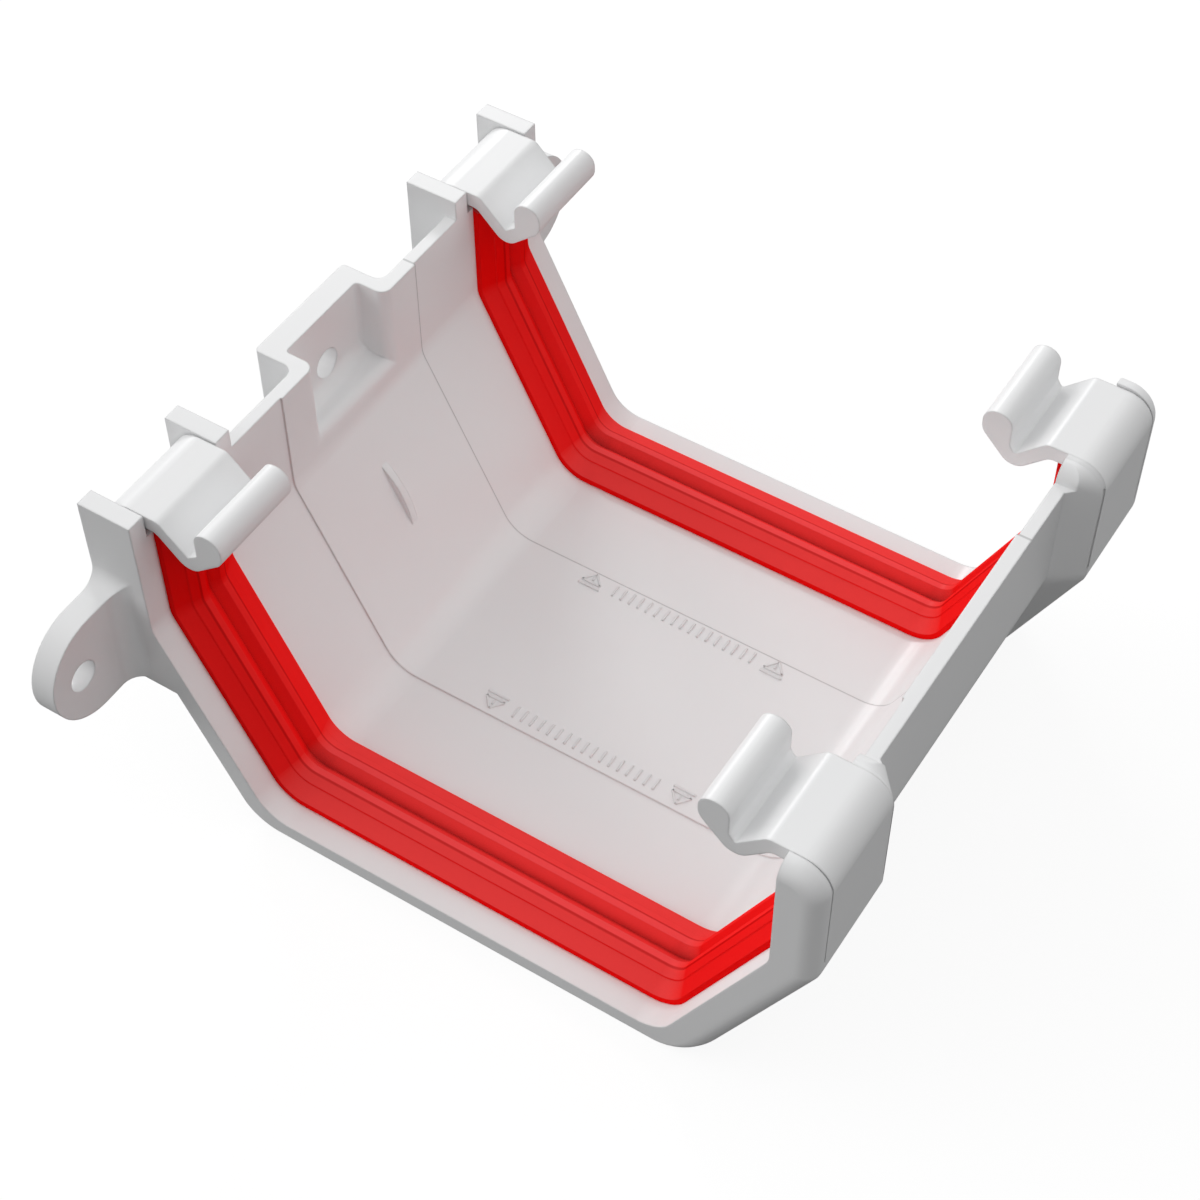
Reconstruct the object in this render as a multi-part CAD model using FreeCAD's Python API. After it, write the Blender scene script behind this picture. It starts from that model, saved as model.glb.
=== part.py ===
import FreeCAD, Part
import math
import os

# Gutter union for a square-section rain gutter, screwed to a fascia board. Millimetres.
# Heights are taken from the underside of the sockets. "Out" is the distance in front of the fascia
# board, and "inward" the distance from the wall of the trough towards its middle.
# X runs along the gutter, and the union is the same on both sides of X = 0.

# Trough
length = 112.0
gutter_width = 113.5
wall_out = 10.2
bend_height = 40.85
wall_rise = 20.9
slope_run = 18.1
floor_height = 3.35
corner_radius = 7.0
bend_radius = 6.0
wall = 2.2

# Middle part, where the two gutters meet
stop_half_length = 18.6
stop_step = 0.33
step_run = 1.35
step_shoulder = 1.5

# Sockets
socket_length = 24.65
socket_wall_drop = 0.8
socket_back_wall = 3.2
socket_back_slope = 4.1
socket_front_slope = 6.95
socket_front_depth = 7.15
socket_back_corner_radius = 8.0
socket_front_corner_radius = 12.0
socket_bend_radius = 3.0
clip_gap_rise = 1.15
clip_gap_round = 0.9

# Ribs at the back and collars at the front, one pair at each end of a socket
rib_thickness = 3.33
rib_rise = 3.9
rib_drop = 14.4
end_collar_rise = 3.6
inner_collar_rise = 3.15
inner_collar_round = 3.0
collar_shoulder = 5.5
bullnose = 3.0
bullnose_margin = 0.3
end_edge_round = 0.2
edge_round = 0.8

# Snap clips
clip_slit = 0.25
clip_thickness = 2.7
clip_arch = 2.8
front_clip_rise = 3.25
front_clip_fall = 3.6
front_clip_shoulder = 5.0
back_clip_rise = 3.65
back_clip_fall = 2.5
back_clip_offset = 0.3
back_clip_chamfer_height = 6.1
back_clip_chamfer_depth = 4.3
back_clip_shoulder = 5.0
back_clip_foot = 3.0
lip_run = 5.1
lip_depth = 3.6
lip_dip = 8.65
lip_round = 1.8
lip_notch = 0.4
lip_belly = 2.8
bead_reach = 4.55
bead_width = 5.15
bead_rise = 2.35
bead_drop = 2.4
bead_radius = 2.5
bead_under_round = 3.2

# Screw pocket in the middle of the back
pocket_side = 2.45
pocket_inner_half_width = 9.75
pocket_plate = 4.55
pocket_rise = 2.8
pocket_floor_thickness = 2.5
pocket_round = 2.0
pocket_floor_fillet = 3.0
screw_radius = 2.8
screw_rise = 4.7

# Screw lugs at the ends
lug_thickness = 4.5
lug_radius = 10.4
lug_reach = 17.9
lug_hole_margin = 6.9
lug_above_rib_bottom = 0.65
lug_fillet = 3.5

# Locating fin on the back slope
fin_length = 13.2
fin_rise = 1.25
fin_thickness = 1.5
fin_middle = -0.25
fin_drop = 14.95

# Rubber seals
seal_from_end = 12.25
seal_half_width = 7.5
seal_wall_share = 0.78
seal_side_rise = 1.2
seal_step_from_middle = 4.7
seal_step_low = 2.85
seal_step_high = 3.1
seal_crest_outer = 2.87
seal_crest_inner = 1.7
seal_crest_rise = 4.15
seal_valley_rise = 2.5
seal_groove = 1.0
seal_fit = 0.05
seal_end_gap = 0.3
seal_end_slope = 0.38

# Places that follow from the sizes above
slope_angle = math.atan(slope_run / (bend_height - floor_height))
half_length = length / 2
front_out = wall_out + gutter_width
front_face = front_out + socket_front_depth
wall_top = bend_height + wall_rise
socket_wall_top = wall_top - socket_wall_drop
clip_gap_floor = bend_height + clip_gap_rise
rib_top = wall_top + rib_rise
rib_bottom = bend_height - rib_drop
end_collar_top = wall_top + end_collar_rise
inner_collar_top = wall_top + inner_collar_rise
front_clip_top = wall_top + front_clip_rise
back_clip_top = wall_top + back_clip_rise
inner_rib_start = half_length - socket_length
inner_rib_end = inner_rib_start + rib_thickness
end_rib_start = half_length - rib_thickness
middle_half_length = inner_rib_start - step_run
clip_start = inner_rib_end + clip_slit
clip_end = end_rib_start - clip_slit
bead_near = lip_run + bead_reach
bead_far = bead_near + bead_width
pocket_half_width = pocket_inner_half_width + pocket_side
pocket_bottom = bend_height + pocket_rise
pocket_floor = pocket_bottom + pocket_floor_thickness
screw_height = pocket_floor + screw_rise
lug_tip = half_length + lug_reach
lug_hole_from_middle = lug_tip - lug_hole_margin
lug_height = rib_bottom + lug_above_rib_bottom + lug_radius
fin_height = bend_height - fin_drop
seal_from_middle = half_length - seal_from_end

# Working lengths: how far joined pieces run into each other, how far a cut runs clear of the part,
# and the distances under which two points, or a point and a face, count as touching
buried = 1.0
clear_above = rib_top + 10.0
same_point = 1e-6
on_face = 1e-3


def side_point(height):
    """Turns (along, out) into a point at one height, for outlines seen from above."""
    return lambda along, out: FreeCAD.Vector(along, -out, height)


def end_point(along):
    """Turns (out, up) into a point at one X, for outlines seen from the end."""
    return lambda out, up: FreeCAD.Vector(along, -out, up)


def face_point(out):
    """Turns (along, up) into a point at one distance out, for outlines seen from the front."""
    return lambda along, up: FreeCAD.Vector(along, -out, up)


def half_angle(before, here, after):
    """Half of the angle between the two sides that meet at a corner."""
    to_before = math.atan2(before[1] - here[1], before[0] - here[0])
    to_after = math.atan2(after[1] - here[1], after[0] - here[0])
    turn = abs(to_before - to_after)
    return min(turn, 2 * math.pi - turn) / 2


def arc_reaches(corners):
    """How far each corner's arc reaches along its sides, less where two arcs would overlap."""
    reaches = []
    for index, here in enumerate(corners):
        after = corners[(index + 1) % len(corners)]
        reaches.append(here[2] / math.tan(half_angle(corners[index - 1], here, after)))
    for index, here in enumerate(corners):
        side = math.dist(here[:2], corners[index - 1][:2])
        wanted = reaches[index] + reaches[index - 1]
        if wanted > side:
            reaches[index] *= side / wanted
            reaches[index - 1] *= side / wanted
    return reaches


def between(first, second, share):
    """The point that lies a share of the way from one point to another."""
    return tuple(low + (high - low) * share for low, high in zip(first[:2], second[:2]))


def corner_arc(before, here, after, reach):
    """The start, middle and end of the arc that rounds one corner of an outline."""
    start = between(here, before, reach / math.dist(here[:2], before[:2]))
    end = between(here, after, reach / math.dist(here[:2], after[:2]))
    share = 1 / (1 + math.sin(half_angle(before, here, after)))
    return start, between(here, between(start, end, 0.5), share), end


def outline(corners, to_point):
    """A closed wire through corners given as (first, second, radius)."""
    arcs = []
    count = len(corners)
    for index, (here, reach) in enumerate(zip(corners, arc_reaches(corners))):
        if reach > same_point:
            after = corners[(index + 1) % count]
            arcs.append(corner_arc(corners[index - 1], here, after, reach))
        else:
            arcs.append((here[:2], None, here[:2]))
    edges = []
    for index, (start, middle, end) in enumerate(arcs):
        if middle:
            edges.append(Part.Arc(to_point(*start), to_point(*middle), to_point(*end)).toShape())
        following = arcs[(index + 1) % count][0]
        if math.dist(end, following) > same_point:
            edges.append(Part.LineSegment(to_point(*end), to_point(*following)).toShape())
    return Part.Wire(edges)


def along_x(corners, start, end):
    """A solid with one section (out, up, radius) from one X to another."""
    face = Part.Face(outline(corners, end_point(start)))
    return face.extrude(FreeCAD.Vector(end - start, 0, 0))


def upward(corners, start, end):
    """A solid with one plan (along, out, radius) from one height to another."""
    face = Part.Face(outline(corners, side_point(start)))
    return face.extrude(FreeCAD.Vector(0, 0, end - start))


def outward(corners, start, end):
    """A solid with one front view (along, up, radius) from one distance out to another."""
    face = Part.Face(outline(corners, face_point(start)))
    return face.extrude(FreeCAD.Vector(0, start - end, 0))


def block(along, out, up):
    """A box between two values of each."""
    size = [high - low for low, high in (along, out, up)]
    return Part.makeBox(*size, FreeCAD.Vector(along[0], -out[1], up[0]))


def slope_inward(offset, height):
    """How far inward the slope lies at a height, once moved outwards by an offset."""
    return (bend_height - height) * math.tan(slope_angle) - offset / math.cos(slope_angle)


def slope_height(offset, inward):
    """The height at which the slope, moved outwards by an offset, lies that far inward."""
    return bend_height - (inward + offset / math.cos(slope_angle)) / math.tan(slope_angle)


def trough_corners(grow, back_top, front_top, floor_rise=0):
    """The inside of the trough from back to front, moved outwards by grow, with the floor raised."""
    bend = slope_height(grow, -grow)
    floor = floor_height - grow + floor_rise
    foot = slope_inward(grow, floor)
    return [
        (wall_out - grow, back_top, 0),
        (wall_out - grow, bend, bend_radius + grow),
        (wall_out + foot, floor, corner_radius + grow),
        (front_out - foot, floor, corner_radius + grow),
        (front_out + grow, bend, bend_radius + grow),
        (front_out + grow, front_top, 0),
    ]


def socket_corners(back_top, front_top, shoulder):
    """The outside of a socket from back to front."""
    back = wall_out - socket_back_wall
    return [
        (back, back_top, 0),
        (back, slope_height(socket_back_slope, -socket_back_wall), socket_bend_radius),
        (wall_out + slope_inward(socket_back_slope, 0), 0, socket_back_corner_radius),
        (front_out - slope_inward(socket_front_slope, 0), 0, socket_front_corner_radius),
        (front_face, slope_height(socket_front_slope, -socket_front_depth), socket_bend_radius),
        (front_face, front_top, shoulder),
    ]


def middle_corners(front_top, shoulder):
    """The outside of the middle part from back to front."""
    corners = trough_corners(wall, wall_top, front_top)
    corners[-1] = (front_out + wall, front_top, shoulder)
    return corners


def make_middle():
    """Half of the part between the sockets, not yet hollow."""
    return along_x(middle_corners(wall_top, 0), 0, middle_half_length)


def make_transition():
    """The oblique step from the middle part out to a socket, which is also its inner collar."""
    small = outline(middle_corners(inner_collar_top, step_shoulder), end_point(middle_half_length))
    large = outline(
        socket_corners(wall_top, inner_collar_top, collar_shoulder), end_point(inner_rib_end)
    )
    before = middle_half_length - buried
    beyond = inner_rib_end + buried
    above = [
        (before, wall_top, 0),
        (inner_rib_start, wall_top, 0),
        (inner_rib_start, inner_collar_top, inner_collar_round),
        (beyond, inner_collar_top, 0),
        (beyond, clear_above, 0),
        (before, clear_above, 0),
    ]
    step = Part.makeLoft([small, large], True, True)
    return step.cut(outward(above, 0, front_face + buried))


def make_socket():
    """The part of a socket under the clips, with the gap behind the front clip."""
    corners = socket_corners(socket_wall_top, clip_gap_floor, 0)
    corners += [
        (front_out + wall, clip_gap_floor, clip_gap_round),
        (front_out + wall, socket_wall_top, 0),
    ]
    return along_x(corners, inner_rib_end, end_rib_start)


def make_end_collar():
    """The end of a socket, with its outer edge rounded: a full bullnose along the front."""
    corners = socket_corners(socket_wall_top, end_collar_top, collar_shoulder)
    inside = trough_corners(-buried, socket_wall_top, end_collar_top)
    hollow = along_x(inside, end_rib_start, half_length)
    collar = along_x(corners + inside[::-1], end_rib_start, half_length)
    chosen = []
    for number, edge in enumerate(collar.Edges, start=1):
        if is_outer_end_edge(edge, hollow):
            chosen.append((number, *[end_rounding(vertex.Point) for vertex in edge.Vertexes]))
    return fillet_edges(collar, chosen)


def is_outer_end_edge(edge, hollow):
    """Whether an edge runs round the outside of the end face."""
    middle = edge.valueAt((edge.FirstParameter + edge.LastParameter) / 2)
    on_end = edge.BoundBox.XMin > half_length - same_point
    return on_end and Part.Vertex(middle).distToShape(hollow)[0] > on_face


def end_rounding(point):
    """The rounding of the end face at one point: large up the front, small elsewhere."""
    at_front = -point.y > wall_out + gutter_width / 2
    if at_front and point.z > same_point:
        return min(bullnose, rib_thickness - bullnose_margin)
    return end_edge_round


def fillet_edges(solid, chosen):
    """Rounds edges, each given as (number, first radius, last radius)."""
    document = FreeCAD.newDocument()
    base = document.addObject("Part::Feature")
    base.Shape = solid
    fillet = document.addObject("Part::Fillet")
    fillet.Base = base
    fillet.Edges = chosen
    document.recompute()
    rounded = fillet.Shape.copy()
    FreeCAD.closeDocument(document.Name)
    return rounded


def make_ribs():
    """The two upright ribs that stand a socket off the fascia board."""
    depth = wall_out + slope_inward(socket_back_slope / 2, rib_bottom)
    inner = block((inner_rib_start, inner_rib_end), (0, depth), (rib_bottom, rib_top))
    end = block((end_rib_start, half_length), (0, depth), (rib_bottom, rib_top))
    web = block(
        (inner_rib_end, end_rib_start),
        (back_clip_offset, depth),
        (rib_bottom, rib_bottom + back_clip_foot),
    )
    return [inner, add_lug(end), web]


def add_lug(rib):
    """The end rib with the round-ended screw lug beside it, filleted in front and on top."""
    low = lug_height - lug_radius
    high = lug_height + lug_radius
    inside = half_length - buried
    corners = [
        (inside, low, 0),
        (lug_tip, low, lug_radius),
        (lug_tip, high, lug_radius),
        (inside, high, 0),
    ]
    joined = rib.fuse(outward(corners, 0, lug_thickness)).removeSplitter()
    roots = [edge for edge in joined.Edges if is_lug_root(edge, high)]
    return joined.makeFillet(lug_fillet, roots)


def is_lug_root(edge, high):
    """Whether an edge lies between the rib and the front or the top of the lug."""
    box = edge.BoundBox
    beside_rib = box.XMin > half_length - on_face and box.XMax < half_length + on_face
    return beside_rib and abs(box.ZMax - high) < on_face


def make_pocket():
    """Half of the box behind the middle of the back wall that the screw plate closes."""
    wall_face = wall_out - wall
    corners = [
        (0, wall_out - buried, 0),
        (pocket_half_width + 2 * pocket_round, wall_out - buried, 0),
        (pocket_half_width + 2 * pocket_round, wall_face, 0),
        (pocket_half_width, wall_face, pocket_round),
        (pocket_half_width, 0, edge_round),
        (0, 0, 0),
    ]
    return upward(corners, pocket_bottom, wall_top)


def make_recess():
    """Half of the hollow of the pocket, open to the trough and at the top."""
    stop_face = wall_out + stop_step
    beyond = pocket_inner_half_width + 2 * pocket_round
    plan = [
        (0, pocket_plate, 0),
        (pocket_inner_half_width, pocket_plate, edge_round),
        (pocket_inner_half_width, stop_face, pocket_round),
        (beyond, stop_face, 0),
        (beyond, stop_face + buried, 0),
        (0, stop_face + buried, 0),
    ]
    section = [
        (pocket_plate, clear_above, 0),
        (pocket_plate, pocket_floor, pocket_floor_fillet),
        (stop_face, pocket_floor, pocket_round),
        (stop_face, pocket_floor - 2 * pocket_round, 0),
        (stop_face + buried, pocket_floor - 2 * pocket_round, 0),
        (stop_face + buried, clear_above, 0),
    ]
    column = upward(plan, pocket_floor - 2 * pocket_round, clear_above)
    return column.common(along_x(section, 0, beyond))


def make_hollow():
    """Half of the inside of the trough, from the stop in the middle to the open end."""
    stop = along_x(trough_corners(-stop_step, clear_above, clear_above), 0, stop_half_length)
    sides = trough_corners(0, clear_above, clear_above)
    socket = along_x(sides, stop_half_length, half_length + buried)
    return [stop, socket]


def make_groove():
    """The shallow channel that holds the seal."""
    sides = trough_corners(seal_groove, clear_above, clear_above)
    return along_x(
        sides, seal_from_middle - seal_half_width, seal_from_middle + seal_half_width
    )


def screw_hole(along, height, depth):
    """A screw hole through a plate on the fascia board."""
    start = FreeCAD.Vector(along, buried, height)
    return Part.makeCylinder(screw_radius, depth + 2 * buried, start, FreeCAD.Vector(0, -1, 0))


def lip_corners(top, fall):
    """The free end of a clip, from its arch round the bead and back below: (inward, up, radius)."""
    notch = fall + lip_run
    dip = top - lip_dip
    under = top - clip_arch
    return [
        (fall, top, lip_round),
        (notch, top - lip_run, lip_notch),
        (bead_near, top - lip_depth, edge_round),
        (bead_near, top + bead_rise, bead_radius),
        (bead_far, top + bead_rise, bead_radius),
        (bead_far, top - bead_drop, bead_under_round),
        (notch, dip, lip_belly),
        (notch - (under - dip), under, lip_round),
    ]


def clip_leg(inward, foot, under):
    """The inner side of a clip's leg, from under the arch down to its foot."""
    return [(inward, under, lip_round), (inward, foot, 0)]


def make_front_clip():
    """The clip that rises flush with the front of the socket and hooks over the gutter's edge."""
    face = -socket_front_depth
    corners = [
        (face, clip_gap_floor - buried, 0),
        (face, front_clip_top, front_clip_shoulder),
    ]
    corners += lip_corners(front_clip_top, front_clip_fall)
    corners += clip_leg(
        face + clip_thickness, clip_gap_floor - buried, front_clip_top - clip_arch
    )
    return along_x([(front_out - i, up, r) for i, up, r in corners], clip_start, clip_end)


def make_back_clip():
    """The clip that rises behind the socket and hooks over the gutter's back edge."""
    face = back_clip_offset - wall_out
    corners = [
        (face, rib_bottom, 0),
        (face, back_clip_top - back_clip_chamfer_height, back_clip_shoulder),
        (face + back_clip_chamfer_depth, back_clip_top, back_clip_shoulder),
    ]
    corners += lip_corners(back_clip_top, back_clip_fall)
    corners += clip_leg(face + clip_thickness, rib_bottom, back_clip_top - clip_arch)
    return along_x([(wall_out + i, up, r) for i, up, r in corners], clip_start, clip_end)


def make_fin():
    """The half-moon fin on the back slope at the middle of the trough."""
    inward = slope_inward(-stop_step, fin_height)
    down = (math.sin(slope_angle), -math.cos(slope_angle))
    away = (math.cos(slope_angle), math.sin(slope_angle))
    start = fin_middle - fin_thickness / 2
    to_point = end_point(start)

    def at(along_slope, rise):
        out = wall_out + inward + down[0] * along_slope + away[0] * rise
        up = fin_height + down[1] * along_slope + away[1] * rise
        return to_point(out, up)

    reach = fin_length / 2
    crest = Part.Arc(at(-reach, 0), at(0, fin_rise), at(reach, 0)).toShape()
    root = Part.makePolygon([at(reach, 0), at(reach, -buried), at(-reach, -buried), at(-reach, 0)])
    face = Part.Face(Part.Wire([crest] + root.Edges))
    return face.extrude(FreeCAD.Vector(fin_thickness, 0, 0))


def make_body():
    """The whole moulding."""
    outside = [make_middle(), make_transition(), make_socket(), make_end_collar(), make_pocket()]
    outside += make_ribs()
    shell = outside[0].multiFuse(outside[1:])
    hollows = make_hollow() + [make_groove(), make_recess()]
    hollows.append(screw_hole(0, screw_height, pocket_plate))
    hollows.append(screw_hole(lug_hole_from_middle, lug_height, lug_thickness))
    shell = shell.cut(hollows)
    half = shell.multiFuse([make_front_clip(), make_back_clip()])
    other_half = half.mirror(FreeCAD.Vector(0, 0, 0), FreeCAD.Vector(1, 0, 0))
    return half.multiFuse([other_half, make_fin()]).removeSplitter()


def seal_section(along, rise):
    """The seal's section at one X, where it stands that far above the floor of the trough."""
    beside = seal_wall_share * rise
    top = socket_wall_top - seal_end_gap
    end = top - seal_end_slope * (beside + seal_groove)
    bottom = trough_corners(seal_groove - seal_fit, top, top)
    crown = trough_corners(-beside, end, end, rise - beside)
    return outline(bottom + crown[::-1], end_point(along))


def make_seal():
    """The rubber strip in the groove: a ramp up each side, twin crests and a valley between."""
    profile = [
        (seal_half_width - seal_fit, seal_side_rise),
        (seal_step_from_middle + seal_fit, seal_step_low),
        (seal_step_from_middle - seal_fit, seal_step_high),
        (seal_crest_outer, seal_crest_rise),
        (seal_crest_inner, seal_crest_rise),
    ]
    stations = [(-offset, rise) for offset, rise in profile]
    stations.append((0, seal_valley_rise))
    stations += profile[::-1]
    sections = [seal_section(seal_from_middle + offset, rise) for offset, rise in stations]
    return Part.makeLoft(sections, True, True)


def save(name, solid):
    """Writes one piece with the middle screw hole, at the fascia board, as the origin."""
    solid.translate(FreeCAD.Vector(0, 0, -screw_height))
    solid.exportStep(os.path.join("parts", name + ".step"))
    box = solid.BoundBox
    print(name, solid.isValid(), len(solid.Solids), round(solid.Volume, 1), box)


def main():
    os.makedirs("parts", exist_ok=True)
    seal = make_seal()
    save("union_body", make_body())
    save("seal_left", seal.mirror(FreeCAD.Vector(0, 0, 0), FreeCAD.Vector(1, 0, 0)))
    save("seal_right", seal)


main()
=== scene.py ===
import math

import bmesh
import bpy
from mathutils import Matrix, Vector


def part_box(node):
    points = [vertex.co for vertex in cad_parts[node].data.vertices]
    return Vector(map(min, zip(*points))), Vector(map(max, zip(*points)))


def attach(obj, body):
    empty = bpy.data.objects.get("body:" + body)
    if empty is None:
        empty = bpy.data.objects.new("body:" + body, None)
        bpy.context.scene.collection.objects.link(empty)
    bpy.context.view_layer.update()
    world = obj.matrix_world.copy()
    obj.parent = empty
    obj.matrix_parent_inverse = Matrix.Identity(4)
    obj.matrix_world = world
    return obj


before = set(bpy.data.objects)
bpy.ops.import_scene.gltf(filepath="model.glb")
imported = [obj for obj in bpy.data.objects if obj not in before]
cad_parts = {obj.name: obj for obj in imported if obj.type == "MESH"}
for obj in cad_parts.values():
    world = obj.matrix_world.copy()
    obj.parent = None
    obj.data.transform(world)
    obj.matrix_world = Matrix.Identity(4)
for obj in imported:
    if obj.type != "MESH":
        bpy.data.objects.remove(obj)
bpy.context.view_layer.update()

MM = 0.001

# Places on the moulding, in millimetres, taken from the same sizes as the solids
STOP_FLOOR = -47.17
STOP_STEP = 18.6
SEAL_MIDDLE = 43.75
SEAL_LINE = 3.05

# In metres: a point inside the trough that its inner faces look towards, and the lowest level
TROUGH_AXIS = Vector((0.0, -0.067, 0.03))
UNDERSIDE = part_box("union_body")[0].z

# For both materials: where most of a noise lies, how finely a rounded edge or a crevice is
# sampled, and the tint that changes nothing. Colours are linear, and lengths are in metres
NOISE_LOW, NOISE_HIGH = 0.3, 0.7
SAMPLES = 4
UNCHANGED = (1.0, 1.0, 1.0)

# White plastic: its surface, its noises as (scale, detail, roughness), its whites from dark to
# light, and the painted shade line at the stop step
PLASTIC = {"edge": 0.00045, "bump": 0.04, "depth": 0.00002, "gloss": 0.05}
PLASTIC_ROUGH = (0.27, 0.33)
PLASTIC_FLOW = (26.0, 2.0, 0.5)
PLASTIC_GRAIN = (2600.0, 2.0, 0.5)
PLASTIC_WHITES = [
    (0.0, (0.862, 0.865, 0.869)),
    (1.0, (0.882, 0.885, 0.889)),
]
# Painted shade: a thin grey line along the stop step, only on faces that look into the trough
STEP_FADE = (0.0001, 0.0003)
STEP_PAINTED_SHADE = [
    (0.0, (0.66, 0.66, 0.66)),
    (1.0, UNCHANGED),
]

# Red rubber: its surface, its noises and their shares, its reds from dark to light, the painted
# sheen from its sides to what faces up, the painted shade in crevices, and the painted shade line
# beside the crests
RUBBER = {"edge": 0.0003, "bump": 0.15, "depth": 0.00004, "gloss": 0.004}
RUBBER_ROUGH = (0.20, 0.28)
RUBBER_CLOUD = (70.0, 4.0, 0.6)
RUBBER_GRAIN = (2200.0, 2.0, 0.6)
CLOUD_SHARE, GRAIN_SHARE = 0.6, 0.4
RUBBER_REDS = [
    (0.0, (0.975, 0.002, 0.002)),
    (0.5, (0.99, 0.003, 0.003)),
    (1.0, (1.0, 0.005, 0.004)),
]
# Painted sheen: green and blue added to faces that turn up, whitening the red there
RUBBER_PAINTED_SHEEN = [
    (0.0, (0.0, 0.0, 0.0)),
    (0.4, (0.0, 0.010, 0.010)),
    (0.52, (0.0, 0.030, 0.028)),
    (0.86, (0.0, 0.052, 0.051)),
    (1.0, (0.0, 0.070, 0.073)),
]
# Painted shade: the red darkens where nearby rubber hems it in, from local occlusion
CREVICE_REACH = 0.005
CREVICE_PAINTED_SHADE = [
    (0.35, (0.30, 0.25, 0.25)),
    (0.66, (0.82, 0.80, 0.80)),
    (0.80, UNCHANGED),
]
# Painted shade: a thin dark line at a set distance on either side of each seal's middle, beside its
# crests
SEAL_LINE_FADE = (0.00008, 0.00028)
SEAL_PAINTED_SHADE_LINE = [
    (0.0, (0.72, 0.45, 0.45)),
    (1.0, UNCHANGED),
]

# Floor: its glow and the pale coat over it where it is seen, the grey that throws light back,
# and its size
FLOOR_GLOW = 1.05
FLOOR_PALE = 0.95
FLOOR_PALE_SHARE = 0.16
FLOOR_THROWN = 0.06
FLOOR_RADIUS = 4.0
FLOOR_SIDES = 96
FLOOR_GAP = 0.00002

# One row of marks on the floor, in millimetres along the row and up from its foot
TRIANGLE = [
    ((-2.2, 0.1), (2.2, 0.1)),
    ((-1.9, 1.0), (1.9, 1.0)),
    ((-1.9, 1.0), (0.0, 3.3)),
    ((1.9, 1.0), (0.0, 3.3)),
    ((0.0, 1.5), (0.0, 2.4)),
]
TRIANGLE_PLACES = (2.35, 40.35)
TICKS = 17
TICK_START = 6.9
TICK_PITCH = 1.79
TICK_FOOT, TICK_TOP = 0.3, 2.9
MARK_WIDTH = 0.42
MARK_DRAFT = 0.08
MARK_FOOT, MARK_TOP = STOP_FLOOR - 0.15, STOP_FLOOR + 0.25

# The two rows, as which way they are read and the plan corner that they start from
MARK_ROWS = [
    (1, Vector((-14.2, -44.9))),
    (-1, Vector((14.9, -87.4))),
]

# Where an inner collar runs on into its front clip, as rows across the slit between them:
# distance from the middle of the part, then the centre of the shoulder (out, up) and its radius
BRIDGE = [
    (34.0, 125.12, 8.92, 4.92),
    (34.5, 125.50, 9.03, 5.02),
    (34.9, 125.80, 9.13, 5.01),
    (35.3, 125.85, 9.15, 4.90),
]

# How far out the strips start, how thick they are, and their turn round the shoulder in degrees
BRIDGE_START = 123.75
BRIDGE_DEPTH = 0.9
BRIDGE_TURN = 78
BRIDGE_STEPS = 24

# Light: the sky's lobes as (azimuth, elevation, narrowness, brightness), and the lamps as
# (name, azimuth, elevation, distance, size, power)
SKY = [
    (0, 48, 6, 0.96),
    (60, 48, 6, 0.68),
    (180, 48, 6, 0.86),
    (300, 48, 6, 0.26),
    (90, 12, 6, 0.98),
    (225, 12, 6, 0.51),
    (270, 12, 6, 0.36),
    (180, 15, 14, 0.54),
    (205, 25, 14, 1.75),
    (230, 35, 14, 0.57),
]
LAMPS = [
    ("rim", 146, 21, 1.2, 0.24, 1.75),
    ("key", 130, 30, 1.2, 0.24, 1.9),
]
LAMP_AIM = Vector((0, -0.065, -0.02))

# The photograph's viewpoint, fitted to it: place in metres, axes, lens and sensor in millimetres
CAMERA_PLACE = (-0.22456, -0.20396, 0.29826)
CAMERA_RIGHT = Vector((0.53698, -0.84358, -0.00476))
CAMERA_UP = Vector((0.65410, 0.41279, 0.63385))
CAMERA_FORWARD = Vector((0.53274, 0.34348, -0.77344))
CAMERA_LENS = 74.205
CAMERA_SENSOR = 36.0
CAMERA_CLIP = (0.01, 50.0)


# Node helpers

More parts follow.
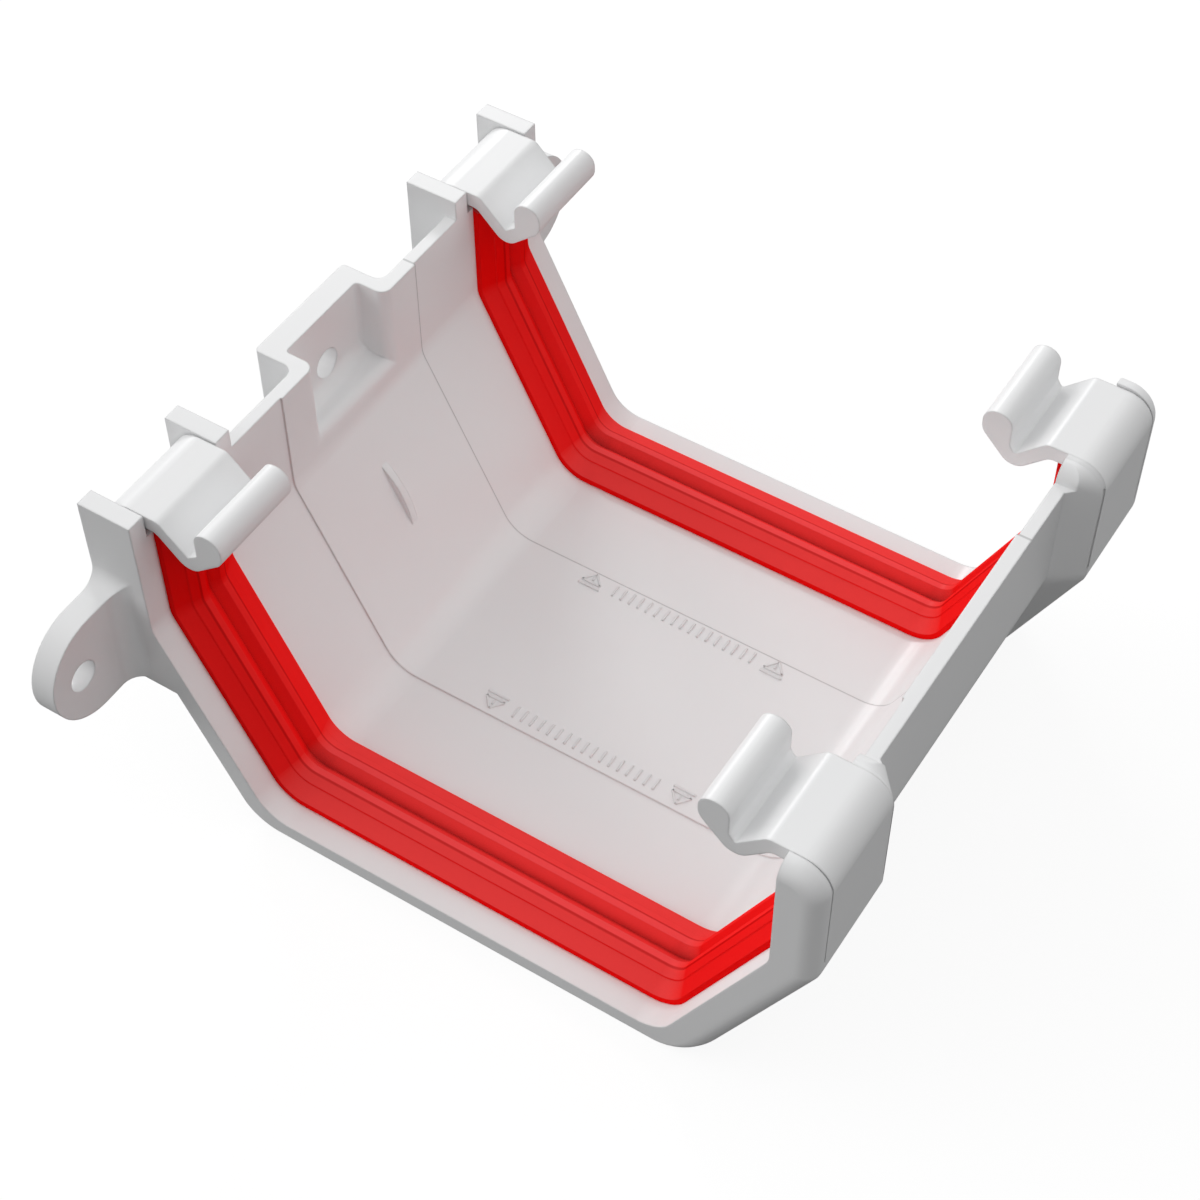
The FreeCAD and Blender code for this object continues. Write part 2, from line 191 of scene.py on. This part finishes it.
class Nodes:
    """Adds nodes to one material or world and links them."""

    def __init__(self, tree):
        self.tree = tree
        tree.nodes.clear()

    def add(self, kind, inputs=None, **settings):
        node = self.tree.nodes.new(kind)
        for name, value in settings.items():
            setattr(node, name, value)
        for name, value in (inputs or {}).items():
            self.put(node, name, value)
        return node

    def put(self, node, name, value):
        """Links or sets one input, by its name or its number."""
        if isinstance(value, bpy.types.NodeSocket):
            self.tree.links.new(value, node.inputs[name])
        else:
            node.inputs[name].default_value = value

    def pair(self, node, first, second, start=0):
        """Fills two inputs that follow each other."""
        self.put(node, start, first)
        self.put(node, start + 1, second)
        return node

    def noise(self, vector, scale, detail, rough):
        node = self.add("ShaderNodeTexNoise", {
            "Vector": vector, "Scale": scale, "Detail": detail, "Roughness": rough,
        })
        return node.outputs["Fac"]

    def remap(self, value, low, high, from_low=NOISE_LOW, from_high=NOISE_HIGH):
        """Stretches a value, by default from where most of a noise lies, and clamps it."""
        node = self.add("ShaderNodeMapRange", {
            "Value": value, "From Min": from_low, "From Max": from_high,
            "To Min": low, "To Max": high,
        })
        return node.outputs["Result"]

    def math(self, operation, first, second):
        node = self.add("ShaderNodeMath", operation=operation)
        return self.pair(node, first, second).outputs["Value"]

    def absolute(self, value):
        return self.math("ABSOLUTE", value, 0.0)

    def apart(self, value, place):
        """How far a value lies from a place, on either side of it."""
        return self.absolute(self.math("SUBTRACT", value, place))

    def vectors(self, operation, first, second):
        node = self.add("ShaderNodeVectorMath", operation=operation)
        return self.pair(node, first, second)

    def part_of(self, vector, axis):
        return self.add("ShaderNodeSeparateXYZ", {"Vector": vector}).outputs[axis]

    def mix(self, share, first, second):
        """One shader over another."""
        node = self.add("ShaderNodeMixShader", {"Fac": share})
        return self.pair(node, first, second, start=1).outputs["Shader"]

    def blend(self, kind, first, second):
        """One colour blended over another at full strength."""
        node = self.add("ShaderNodeMix", data_type="RGBA", blend_type=kind)
        slots = {slot.identifier: slot for slot in node.inputs}
        slots["Factor_Float"].default_value = 1.0
        self.tree.links.new(first, slots["A_Color"])
        self.tree.links.new(second, slots["B_Color"])
        return next(slot for slot in node.outputs if slot.identifier == "Result_Color")

    def ramp(self, value, stops):
        node = self.add("ShaderNodeValToRGB", {"Fac": value})
        elements = node.color_ramp.elements
        while len(elements) > 1:
            elements.remove(elements[-1])
        elements[0].position = stops[0][0]
        elements[0].color = (*stops[0][1], 1.0)
        for place, colour in stops[1:]:
            elements.new(place).color = (*colour, 1.0)
        return node.outputs["Color"]


# Materials

def new_material(name):
    material = bpy.data.materials.new(name)
    material.use_nodes = True
    return material, Nodes(material.node_tree)


def grey(level):
    return (level, level, level, 1)


def finish_material(nodes, colour, rough, grain, surface):
    """Rounds the edges, adds the grain, and lays a white gloss over the coloured body.

    The gloss has the same share at every angle, as the photograph shows it.
    """
    edges = nodes.add("ShaderNodeBevel", {"Radius": surface["edge"]}, samples=SAMPLES)
    texture = nodes.add("ShaderNodeBump", {
        "Strength": surface["bump"], "Distance": surface["depth"],
        "Height": grain, "Normal": edges.outputs["Normal"],
    })
    normal = texture.outputs["Normal"]
    body = nodes.add("ShaderNodeBsdfPrincipled", {
        "Base Color": colour, "Roughness": rough, "Specular IOR Level": 0.0, "Normal": normal,
    })
    gloss = nodes.add("ShaderNodeBsdfGlossy", {
        "Color": grey(1), "Roughness": rough, "Normal": normal,
    })
    both = nodes.mix(surface["gloss"], body.outputs["BSDF"], gloss.outputs["BSDF"])
    nodes.add("ShaderNodeOutputMaterial", {"Surface": both})


def make_plastic():
    """White moulded plastic: faint mottling, fine moulded grain and slightly rounded edges.

    A thin grey line of painted shade draws the stop step at the +X side, on the faces that look
    into the trough.
    """
    material, nodes = new_material("white_plastic")
    place = nodes.add("ShaderNodeTexCoord").outputs["Object"]
    grain = nodes.noise(place, *PLASTIC_GRAIN)
    flow = nodes.noise(place, *PLASTIC_FLOW)
    inward = nodes.vectors("SUBTRACT", TROUGH_AXIS, place).outputs["Vector"]
    facing = nodes.add("ShaderNodeNewGeometry").outputs["Normal"]
    looks_in = nodes.vectors("DOT_PRODUCT", inward, facing).outputs["Value"]
    outside = nodes.math("LESS_THAN", looks_in, 0.0)
    # Painted shade: a thin grey line along the stop step at +X, kept off the outside faces
    from_step = nodes.apart(nodes.part_of(place, "X"), STOP_STEP * MM)
    faded = nodes.math("ADD", nodes.remap(from_step, 0.0, 1.0, *STEP_FADE), outside)
    shade_line = nodes.ramp(faded, STEP_PAINTED_SHADE)
    colour = nodes.blend("MULTIPLY", nodes.ramp(flow, PLASTIC_WHITES), shade_line)
    rough = nodes.remap(flow, *PLASTIC_ROUGH, 0.0, 1.0)
    finish_material(nodes, colour, rough, grain, PLASTIC)
    return material


def make_rubber():
    """Red moulded rubber: satin and slightly uneven, with painted shade darkening its crevices.

    What faces up has a faint painted sheen, and a thin dark line of painted shade runs beside
    the crests of each seal.
    """
    material, nodes = new_material("red_rubber")
    place = nodes.add("ShaderNodeTexCoord").outputs["Object"]
    cloud = nodes.noise(place, *RUBBER_CLOUD)
    grain = nodes.noise(place, *RUBBER_GRAIN)
    cloud_part = nodes.math("MULTIPLY", cloud, CLOUD_SHARE)
    grain_part = nodes.math("MULTIPLY", grain, GRAIN_SHARE)
    mixed = nodes.math("ADD", cloud_part, grain_part)
    red = nodes.ramp(nodes.remap(mixed, 0.0, 1.0), RUBBER_REDS)
    # Painted sheen: the red is lighter and whiter where the rubber faces up
    facing = nodes.add("ShaderNodeNewGeometry").outputs["Normal"]
    upward = nodes.remap(nodes.part_of(facing, "Z"), 0.0, 1.0, 0.0, 1.0)
    with_painted_sheen = nodes.blend("ADD", red, nodes.ramp(upward, RUBBER_PAINTED_SHEEN))
    # Painted shade in the crevices, from how open each point is to its surroundings
    open_to_light = nodes.add("ShaderNodeAmbientOcclusion", {
        "Distance": CREVICE_REACH,
    }, samples=SAMPLES, only_local=True)
    crevice_shade = nodes.ramp(open_to_light.outputs["AO"], CREVICE_PAINTED_SHADE)
    # Painted shade: a thin dark line beside the crests of each seal
    from_middle = nodes.apart(nodes.absolute(nodes.part_of(place, "X")), SEAL_MIDDLE * MM)
    from_line = nodes.apart(from_middle, SEAL_LINE * MM)
    shade_line = nodes.ramp(nodes.remap(from_line, 0.0, 1.0, *SEAL_LINE_FADE), SEAL_PAINTED_SHADE_LINE)
    colour = nodes.blend("MULTIPLY", nodes.blend("MULTIPLY", with_painted_sheen, crevice_shade), shade_line)
    rough = nodes.remap(mixed, *RUBBER_ROUGH)
    finish_material(nodes, colour, rough, grain, RUBBER)
    return material


def seen_directly(nodes):
    """1 for rays from the camera, a reflection or a transmission, which see white."""
    path = nodes.add("ShaderNodeLightPath")
    seen = nodes.math("MAXIMUM", path.outputs["Is Camera Ray"], path.outputs["Is Transmission Ray"])
    return nodes.math("MAXIMUM", seen, path.outputs["Is Glossy Ray"])


def make_floor_material():
    """Pale floor: near white where it is seen, greyer for the light that it throws back."""
    material, nodes = new_material("pale_floor")
    glow = nodes.add("ShaderNodeEmission", {"Color": grey(1), "Strength": FLOOR_GLOW})
    pale = nodes.add("ShaderNodeBsdfDiffuse", {"Color": grey(FLOOR_PALE)})
    white = nodes.mix(FLOOR_PALE_SHARE, glow.outputs["Emission"], pale.outputs["BSDF"])
    thrown = nodes.add("ShaderNodeBsdfDiffuse", {"Color": grey(FLOOR_THROWN)})
    choice = nodes.mix(seen_directly(nodes), thrown.outputs["BSDF"], white)
    nodes.add("ShaderNodeOutputMaterial", {"Surface": choice})
    return material


# Mesh helpers

def add_object(name, build, material):
    """Adds a piece from a mesh-building function, riding on the part."""
    work = bmesh.new()
    build(work)
    bmesh.ops.recalc_face_normals(work, faces=work.faces[:])
    mesh = bpy.data.meshes.new(name)
    work.to_mesh(mesh)
    work.free()
    mesh.materials.append(material)
    piece = bpy.data.objects.new(name, mesh)
    bpy.context.scene.collection.objects.link(piece)
    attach(piece, "root")


def wrap(work, first, second):
    """Joins two loops of the same count with a band of faces."""
    for index in range(len(first)):
        after = (index + 1) % len(first)
        work.faces.new((first[index], first[after], second[after], second[index]))


def raised(work, outline):
    """A mark with slightly sloping sides, from its plan outline in millimetres."""
    count = len(outline)
    middle = Vector((sum(p[0] for p in outline) / count, sum(p[1] for p in outline) / count))
    base, crown = [], []
    for point in outline:
        away = Vector(point) - middle
        inner = middle + away * (1 - MARK_DRAFT / max(away.length, MARK_DRAFT))
        base.append(work.verts.new((point[0] * MM, point[1] * MM, MARK_FOOT * MM)))
        crown.append(work.verts.new((inner[0] * MM, inner[1] * MM, MARK_TOP * MM)))
    work.faces.new(crown)
    work.faces.new(base[::-1])
    wrap(work, base, crown)


def bar(start, end, width):
    """The plan outline of a straight bar between two points."""
    along = (Vector(end) - Vector(start)).normalized()
    side = Vector((-along.y, along.x)) * width / 2
    corners = ((start, side), (start, -side), (end, -side), (end, side))
    return [tuple(Vector(point) + shift) for point, shift in corners]


def mark_bars():
    """One row of marks, as bars (start, end): ticks, and a triangle over a line at each end."""
    bars = []
    for middle in TRIANGLE_PLACES:
        for start, end in TRIANGLE:
            bars.append(((middle + start[0], start[1]), (middle + end[0], end[1])))
    for step in range(TICKS):
        place = TICK_START + step * TICK_PITCH
        bars.append(((place, TICK_FOOT), (place, TICK_TOP)))
    return bars


def build_marks(work):
    """Both rows of marks on the floor, each read from its own end of the union."""
    for start, end in mark_bars():
        for turn, corner in MARK_ROWS:
            points = [corner + turn * Vector((-up, -along)) for along, up in (start, end)]
            raised(work, bar(points[0], points[1], MARK_WIDTH))


def bridge_outline(out, up, radius):
    """One row of a strip: its inner end, round the shoulder on top and back underneath."""
    turns = [math.radians(BRIDGE_TURN) * step / BRIDGE_STEPS for step in range(BRIDGE_STEPS + 1)]
    outline = [(BRIDGE_START, up + radius - BRIDGE_DEPTH), (BRIDGE_START, up + radius)]
    for reach, order in ((radius, turns), (radius - BRIDGE_DEPTH, turns[::-1])):
        outline += [(out + reach * math.sin(turn), up + reach * math.cos(turn)) for turn in order]
    return outline


def build_bridges(work):
    """Strips that close the top of the slit beside each front clip, to the bend of its shoulder."""
    for side in (-1, 1):
        loops = []
        for across, out, up, radius in BRIDGE:
            place = side * across * MM
            outline = bridge_outline(out, up, radius)
            loops.append([work.verts.new((place, -y * MM, z * MM)) for y, z in outline])
        for before, after in zip(loops, loops[1:]):
            wrap(work, before, after)
        work.faces.new(loops[0])
        work.faces.new(loops[-1])


# Setting

def make_camera():
    """The photograph's viewpoint, in the row frame."""
    data = bpy.data.cameras.new("camera")
    data.sensor_width = CAMERA_SENSOR
    data.lens = CAMERA_LENS
    data.clip_start, data.clip_end = CAMERA_CLIP
    camera = bpy.data.objects.new("camera", data)
    bpy.context.scene.collection.objects.link(camera)
    turn = Matrix((CAMERA_RIGHT, CAMERA_UP, -CAMERA_FORWARD)).transposed()
    camera.matrix_world = Matrix.Translation(CAMERA_PLACE) @ turn.to_4x4()
    bpy.context.scene.camera = camera


def make_floor():
    """A wide round floor just under the part."""
    work = bmesh.new()
    bmesh.ops.create_circle(work, cap_ends=True, radius=FLOOR_RADIUS, segments=FLOOR_SIDES)
    mesh = bpy.data.meshes.new("floor")
    work.to_mesh(mesh)
    work.free()
    mesh.materials.append(make_floor_material())
    floor = bpy.data.objects.new("floor", mesh)
    floor.location = (0, 0, UNDERSIDE - FLOOR_GAP)
    bpy.context.scene.collection.objects.link(floor)


def toward(azimuth, elevation):
    """The direction of a light, in degrees: azimuth 0 is in front of the part and 90 is +X."""
    turn, rise = math.radians(azimuth), math.radians(elevation)
    level = math.cos(rise)
    return Vector((math.sin(turn) * level, -math.cos(turn) * level, math.sin(rise)))


def make_world():
    """White where it is seen. As light it is a sum of soft lobes, listed in SKY."""
    world = bpy.data.worlds.new("studio")
    world.use_nodes = True
    bpy.context.scene.world = world
    nodes = Nodes(world.node_tree)
    direction = nodes.add("ShaderNodeTexCoord").outputs["Generated"]
    total = 0.0
    for azimuth, elevation, narrowness, brightness in SKY:
        towards = nodes.vectors("DOT_PRODUCT", direction, toward(azimuth, elevation))
        facing = nodes.math("MAXIMUM", towards.outputs["Value"], 0.0)
        lobe = nodes.math("POWER", facing, narrowness)
        total = nodes.math("ADD", total, nodes.math("MULTIPLY", lobe, brightness))
    light = nodes.add("ShaderNodeBackground", {"Color": grey(1), "Strength": total})
    white = nodes.add("ShaderNodeBackground", {"Color": grey(1), "Strength": 1.0})
    backgrounds = light.outputs["Background"], white.outputs["Background"]
    choice = nodes.mix(seen_directly(nodes), *backgrounds)
    nodes.add("ShaderNodeOutputWorld", {"Surface": choice})


def make_lamp(name, azimuth, elevation, distance, size, power):
    """A round soft box aimed at the middle of the part."""
    place = LAMP_AIM + toward(azimuth, elevation) * distance
    data = bpy.data.lights.new(name, "AREA")
    data.shape = "DISK"
    data.size = size
    data.energy = power
    lamp = bpy.data.objects.new(name, data)
    lamp.location = place
    lamp.rotation_euler = (LAMP_AIM - place).to_track_quat("-Z", "Y").to_euler()
    bpy.context.scene.collection.objects.link(lamp)


plastic = make_plastic()
rubber = make_rubber()
for name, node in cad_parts.items():
    material = plastic if name == "union_body" else rubber
    node.data.materials.clear()
    node.data.materials.append(material)

add_object("floor_marks", build_marks, plastic)
add_object("collar_bridges", build_bridges, plastic)

make_camera()
make_floor()
make_world()
for lamp in LAMPS:
    make_lamp(*lamp)

bpy.context.scene.view_settings.view_transform = "Standard"
